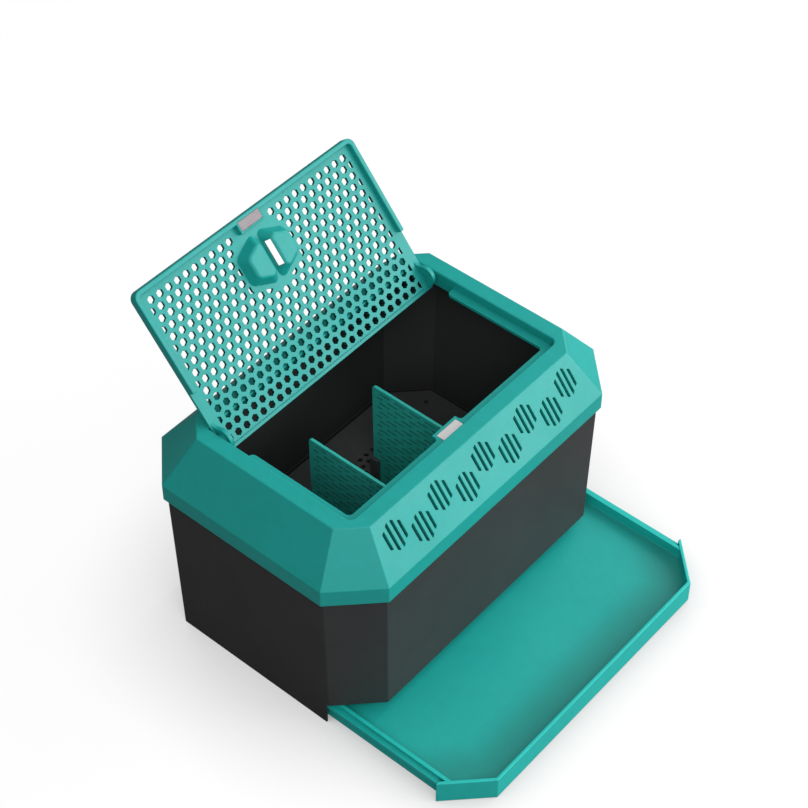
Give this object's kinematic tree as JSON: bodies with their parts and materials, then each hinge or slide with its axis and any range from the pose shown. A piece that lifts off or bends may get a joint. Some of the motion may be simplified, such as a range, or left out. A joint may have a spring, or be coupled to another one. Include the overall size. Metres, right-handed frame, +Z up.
{
  "type": "cricket keeper box",
  "caption": "Octagonal insect keeper with a black bin, a teal vented cover, a hinged lid with hexagon holes, standing climbing boards and a pull-out droppings tray.",
  "frame": {"origin": "middle of the case's footprint, on the plane of its foot rim", "axes": "+X along the long side, +Y from the vented front to the lid's hinge, +Z up; the rest pose has the lid open, the tray part way out and the boards standing"},
  "size_m": [0.2498, 0.2771, 0.2283],
  "materials": {
    "teal_plastic": "satin moulded polypropylene",
    "black_plastic": "fine-textured moulded polypropylene",
    "magnet_steel": "nickel-plated magnet"
  },
  "bodies": {
    "case": {"bin_shell": "black_plastic", "sieve_floor": "black_plastic", "top_cover": "teal_plastic", "strike_magnet": "magnet_steel"},
    "lid": {"lid": "teal_plastic", "lid_magnet": "magnet_steel"},
    "tray": {"droppings_tray": "teal_plastic"},
    "board_left": {"climbing_board_left": "teal_plastic"},
    "board_right": {"climbing_board_right": "teal_plastic"}
  },
  "joints": [
    {"name": "lid_hinge", "type": "hinge", "parent": "case", "child": "lid", "pos_m": [0, 0.0432, 0.1526], "axis": [1, 0, 0], "range_deg": [0, 130]},
    {"name": "tray_slide", "type": "slide", "parent": "case", "child": "tray", "axis": [0, -1, 0], "range_m": [-0.0823, 0.0227]},
    {"name": "board_left_lift", "type": "slide", "parent": "case", "child": "board_left", "axis": [0, 0, 1], "range_m": [0, 0.03]},
    {"name": "board_right_lift", "type": "slide", "parent": "case", "child": "board_right", "axis": [0, 0, 1], "range_m": [0, 0.03]}
  ]
}
